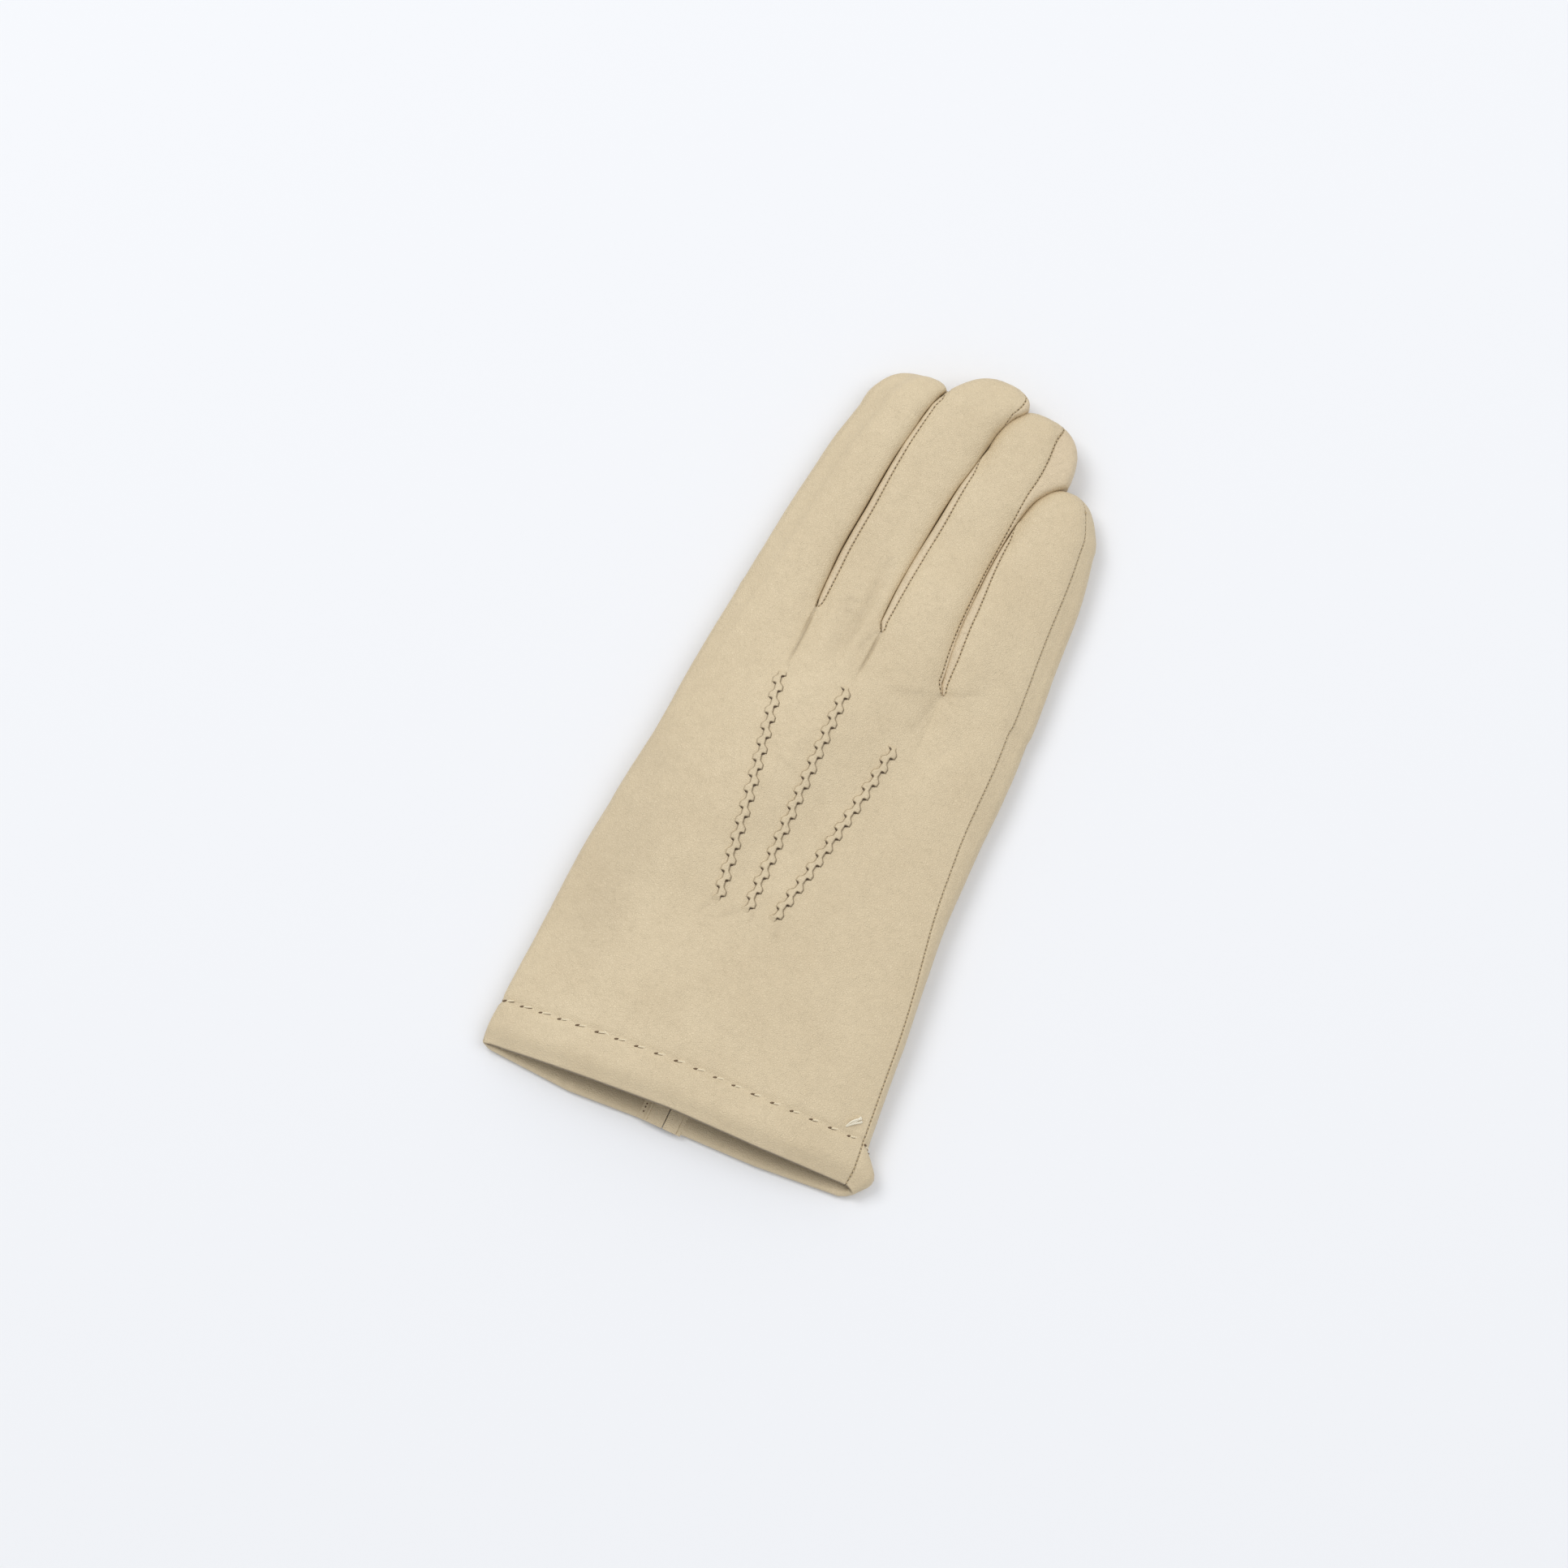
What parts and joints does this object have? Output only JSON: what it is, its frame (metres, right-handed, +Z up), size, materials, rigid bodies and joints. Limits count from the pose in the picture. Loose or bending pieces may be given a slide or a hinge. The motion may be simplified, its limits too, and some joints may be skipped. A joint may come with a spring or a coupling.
{
  "type": "cashmere-lined leather glove",
  "caption": "Right-hand dress glove of soft lined leather, lying flat with its back up and its thumb folded under, hollow and open at the cuff.",
  "frame": {"origin": "middle of the glove's outline seen from above, on the surface it lies on", "axes": "+Y from the cuff to the fingertips, +Z up out of the back of the hand, -X the index finger side"},
  "size_m": [0.1194, 0.2486, 0.0221],
  "materials": {
    "nappa_leather": "smooth beige lamb nappa with a soft sheen, knitted cashmere on the inside",
    "nappa_trim": "the same nappa, rolled or whipped with cream thread"
  },
  "bodies": {
    "root": {"fourchette_index_middle": "nappa_leather", "fourchette_middle_ring": "nappa_leather", "fourchette_ring_little": "nappa_leather", "quirk": "nappa_leather", "thumb": "nappa_leather", "trank_back": "nappa_leather", "trank_palm": "nappa_leather", "point_index": "nappa_trim", "point_middle": "nappa_trim", "point_ring": "nappa_trim", "vent_binding": "nappa_trim", "vent_facing_left": "nappa_trim", "vent_facing_right": "nappa_trim"}
  },
  "joints": []
}
